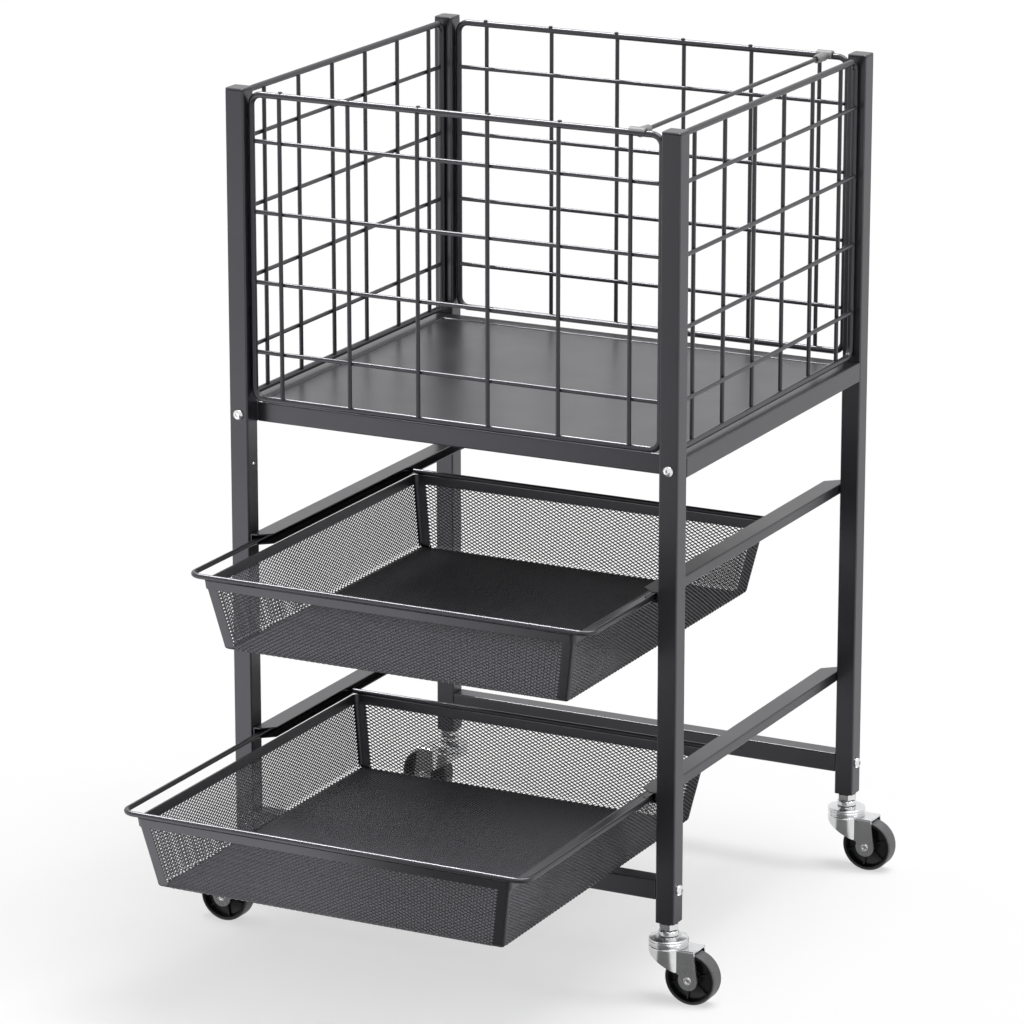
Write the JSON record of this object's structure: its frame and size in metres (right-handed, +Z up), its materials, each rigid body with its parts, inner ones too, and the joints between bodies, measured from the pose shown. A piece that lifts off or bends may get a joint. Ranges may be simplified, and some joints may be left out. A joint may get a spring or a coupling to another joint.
{
  "type": "mobile file cart",
  "caption": "Wheeled square-tube cart with an open wire file box and hanging rod on top, and mesh baskets that draw out on runners below.",
  "frame": {"origin": "on the floor under the middle of the cart's box, with the baskets drawn out as in the picture", "axes": "+X to the cart's right, +Y to its back, +Z up; the baskets draw out towards -Y"},
  "size_m": [0.541, 0.6872, 0.811],
  "materials": {
    "powder_coat": "satin charcoal powder coat",
    "bright_steel": "bright plated",
    "zinc": "bright zinc plate",
    "wheel_plastic": "moulded black plastic",
    "clip_plastic": "moulded grey plastic"
  },
  "bodies": {
    "frame": {"post_front_left": "powder_coat", "post_front_right": "powder_coat", "post_rear_left": "powder_coat", "post_rear_right": "powder_coat", "post_cap_front_left": "powder_coat", "post_cap_front_right": "powder_coat", "post_cap_rear_left": "powder_coat", "post_cap_rear_right": "powder_coat", "tray_rail_left": "powder_coat", "tray_rail_right": "powder_coat", "tray_rail_front": "powder_coat", "tray_rail_rear": "powder_coat", "bottom_rail_front": "powder_coat", "bottom_rail_rear": "powder_coat", "tray_bolt_front_left": "bright_steel", "tray_bolt_front_right": "bright_steel", "tray_bolt_rear_left": "bright_steel", "tray_bolt_rear_right": "bright_steel", "rail_bolt_front_left": "bright_steel", "rail_bolt_front_right": "bright_steel", "rail_bolt_rear_left": "bright_steel", "rail_bolt_rear_right": "bright_steel", "shelf_plate": "powder_coat", "grid_panel_front": "powder_coat", "grid_panel_rear": "powder_coat", "grid_panel_left": "powder_coat", "grid_panel_right": "powder_coat", "runner_upper_left": "powder_coat", "runner_upper_right": "powder_coat", "runner_lower_left": "powder_coat", "runner_lower_right": "powder_coat", "caster_stem_front_left": "zinc", "caster_stem_front_right": "zinc", "caster_stem_rear_left": "zinc", "caster_stem_rear_right": "zinc", "caster_cup_front_left": "zinc", "caster_cup_front_right": "zinc", "caster_cup_rear_left": "zinc", "caster_cup_rear_right": "zinc"},
    "upper_basket": {"basket_rim_upper": "powder_coat", "basket_tub_upper": "powder_coat"},
    "lower_basket": {"basket_rim_lower": "powder_coat", "basket_tub_lower": "powder_coat"},
    "hanging_rail": {"hanging_rod": "powder_coat", "rod_clip_front": "clip_plastic", "rod_clip_rear": "clip_plastic"},
    "fork_front_left": {"caster_fork_front_left": "zinc", "caster_axle_front_left": "zinc"},
    "fork_front_right": {"caster_fork_front_right": "zinc", "caster_axle_front_right": "zinc"},
    "fork_rear_left": {"caster_fork_rear_left": "zinc", "caster_axle_rear_left": "zinc"},
    "fork_rear_right": {"caster_fork_rear_right": "zinc", "caster_axle_rear_right": "zinc"},
    "wheel_front_left": {"caster_wheel_front_left": "wheel_plastic"},
    "wheel_front_right": {"caster_wheel_front_right": "wheel_plastic"},
    "wheel_rear_left": {"caster_wheel_rear_left": "wheel_plastic"},
    "wheel_rear_right": {"caster_wheel_rear_right": "wheel_plastic"}
  },
  "joints": [
    {"name": "upper_basket_slide", "type": "slide", "parent": "frame", "child": "upper_basket", "axis": [0, -1, 0], "range_m": [-0.132, 0.168]},
    {"name": "lower_basket_slide", "type": "slide", "parent": "frame", "child": "lower_basket", "axis": [0, -1, 0], "range_m": [-0.2575, 0.0425]},
    {"name": "hanging_rail_slide", "type": "slide", "parent": "frame", "child": "hanging_rail", "axis": [1, 0, 0], "range_m": [-0.374, 0.006]},
    {"name": "swivel_front_left", "type": "hinge", "parent": "frame", "child": "fork_front_left", "pos_m": [-0.2205, -0.08377, 0.055], "axis": [0, 0, 1], "continuous": true},
    {"name": "swivel_front_right", "type": "hinge", "parent": "frame", "child": "fork_front_right", "pos_m": [0.2205, -0.08377, 0.055], "axis": [0, 0, 1], "continuous": true},
    {"name": "swivel_rear_left", "type": "hinge", "parent": "frame", "child": "fork_rear_left", "pos_m": [-0.2205, 0.32523, 0.055], "axis": [0, 0, 1], "continuous": true},
    {"name": "swivel_rear_right", "type": "hinge", "parent": "frame", "child": "fork_rear_right", "pos_m": [0.2205, 0.32523, 0.055], "axis": [0, 0, 1], "continuous": true},
    {"name": "spin_front_left", "type": "hinge", "parent": "fork_front_left", "child": "wheel_front_left", "pos_m": [-0.2455, -0.08377, 0.025], "axis": [0, 1, 0], "continuous": true},
    {"name": "spin_front_right", "type": "hinge", "parent": "fork_front_right", "child": "wheel_front_right", "pos_m": [0.2455, -0.08377, 0.025], "axis": [0, 1, 0], "continuous": true},
    {"name": "spin_rear_left", "type": "hinge", "parent": "fork_rear_left", "child": "wheel_rear_left", "pos_m": [-0.2455, 0.32523, 0.025], "axis": [0, 1, 0], "continuous": true},
    {"name": "spin_rear_right", "type": "hinge", "parent": "fork_rear_right", "child": "wheel_rear_right", "pos_m": [0.2455, 0.32523, 0.025], "axis": [0, 1, 0], "continuous": true}
  ]
}
